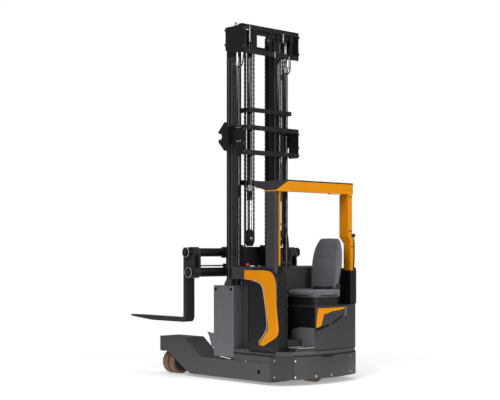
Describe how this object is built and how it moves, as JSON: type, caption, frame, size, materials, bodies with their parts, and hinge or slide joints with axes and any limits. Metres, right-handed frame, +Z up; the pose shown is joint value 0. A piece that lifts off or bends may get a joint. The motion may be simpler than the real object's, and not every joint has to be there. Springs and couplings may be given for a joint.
{
  "type": "multi-directional reach truck",
  "caption": "Electric reach truck with a side seat, three-stage mast, wide fork carriage on two cross tubes and steered load wheels.",
  "frame": {"origin": "on the floor, in the middle of the truck's length over the forks and of its width over the arms", "axes": "+Z up, +Y towards the fork tips, +X to the right arm"},
  "size_m": [1.85, 2.5959, 4.115],
  "materials": {
    "body_grey": "satin",
    "arm_grey": "satin",
    "orange": "gloss",
    "mast_black": "satin",
    "chrome": "polished",
    "steel": "machined",
    "chain_steel": "machined",
    "black_plastic": "matte",
    "seat_fabric": "woven",
    "tread": "matte",
    "drive_tread": "matte",
    "battery": "matte"
  },
  "bodies": {
    "chassis": {"frame": "arm_grey", "towers": "body_grey", "skirt": "body_grey", "battery": "battery", "hood": "body_grey", "console": "body_grey", "console_band": "orange", "pod": "body_grey", "wall": "body_grey", "floor": "black_plastic", "seat_base": "black_plastic", "seat_cushion": "seat_fabric", "seat_back": "seat_fabric", "guard_left": "body_grey", "guard_right": "orange", "guard_plate": "orange", "guard_top": "black_plastic", "pod_accent": "orange", "guard_roof": "orange", "controls": "black_plastic"},
    "mast_base": {"reach_carriage": "mast_black", "reach_rollers": "steel", "mast_outer": "mast_black", "outer_rollers": "steel", "mast_ties": "mast_black", "lift_tubes": "mast_black"},
    "middle_stage": {"mast_middle": "mast_black", "middle_ties": "mast_black", "middle_rollers": "steel", "lift_rods": "chrome"},
    "inner_stage": {"mast_inner": "mast_black", "free_tubes": "mast_black", "head_pulleys": "steel", "lift_chains": "chain_steel", "front_chains": "chain_steel"},
    "sheave_rods": {"free_rods": "chrome"},
    "carriage": {"carriage": "mast_black", "carriage_rollers": "steel"},
    "tilt_frame": {"beams": "mast_black"},
    "fork_left": {"fork_left": "mast_black"},
    "fork_right": {"fork_right": "mast_black"},
    "load_head_left": {"load_head_left": "arm_grey"},
    "load_wheels_left": {"load_rims_left": "mast_black", "load_treads_left": "tread"},
    "load_head_right": {"load_head_right": "arm_grey"},
    "load_wheels_right": {"load_rims_right": "mast_black", "load_treads_right": "tread"},
    "drive_head": {"drive_head": "arm_grey"},
    "drive_wheel": {"drive_rim": "mast_black", "drive_tyre": "drive_tread"}
  },
  "joints": [
    {"name": "reach", "type": "slide", "parent": "chassis", "child": "mast_base", "axis": [0, 1, 0], "range_m": [0, 0.5]},
    {"name": "mast_lift", "type": "slide", "parent": "mast_base", "child": "middle_stage", "axis": [0, 0, 1], "range_m": [0, 3]},
    {"name": "inner_lift", "type": "slide", "parent": "middle_stage", "child": "inner_stage", "axis": [0, 0, 1], "range_m": [0, 3]},
    {"name": "free_lift", "type": "slide", "parent": "inner_stage", "child": "carriage", "axis": [0, 0, 1], "range_m": [-0.655, 2.4], "deforming": ["front_chains"]},
    {"name": "sheave_travel", "type": "slide", "parent": "inner_stage", "child": "sheave_rods", "axis": [0, 0, 1], "range_m": [-1.2, 0.3275], "deforming": ["lift_chains"]},
    {"name": "fork_tilt", "type": "hinge", "parent": "carriage", "child": "tilt_frame", "pos_m": [0, 0.138, 1.472], "axis": [-1, 0, 0], "range_deg": [-5, 2]},
    {"name": "fork_spread_left", "type": "slide", "parent": "tilt_frame", "child": "fork_left", "axis": [1, 0, 0], "range_m": [0, 0.39]},
    {"name": "fork_spread_right", "type": "slide", "parent": "tilt_frame", "child": "fork_right", "axis": [-1, 0, 0], "range_m": [0, 0.39]},
    {"name": "load_steer_left", "type": "hinge", "parent": "chassis", "child": "load_head_left", "pos_m": [-0.508, 0.792, 0.3], "axis": [0, 0, 1], "range_deg": [-10, 100]},
    {"name": "load_steer_right", "type": "hinge", "parent": "chassis", "child": "load_head_right", "pos_m": [0.508, 0.792, 0.3], "axis": [0, 0, -1], "range_deg": [-10, 100]},
    {"name": "load_wheels_left", "type": "hinge", "parent": "load_head_left", "child": "load_wheels_left", "pos_m": [-0.508, 0.792, 0.1425], "axis": [0, 1, 0], "continuous": true},
    {"name": "load_wheels_right", "type": "hinge", "parent": "load_head_right", "child": "load_wheels_right", "pos_m": [0.508, 0.792, 0.1425], "axis": [0, 1, 0], "continuous": true},
    {"name": "drive_steer", "type": "hinge", "parent": "chassis", "child": "drive_head", "pos_m": [0, -1.003, 0.36], "axis": [0, 0, 1], "range_deg": [-90, 90]},
    {"name": "drive_wheel", "type": "hinge", "parent": "drive_head", "child": "drive_wheel", "pos_m": [0, -1.003, 0.1715], "axis": [0, 1, 0], "continuous": true}
  ],
  "couplings": [
    {"joint": "inner_lift", "follows": "mast_lift", "ratio": 1},
    {"joint": "sheave_travel", "follows": "free_lift", "ratio": -0.5},
    {"joint": "fork_spread_right", "follows": "fork_spread_left", "ratio": 1}
  ]
}
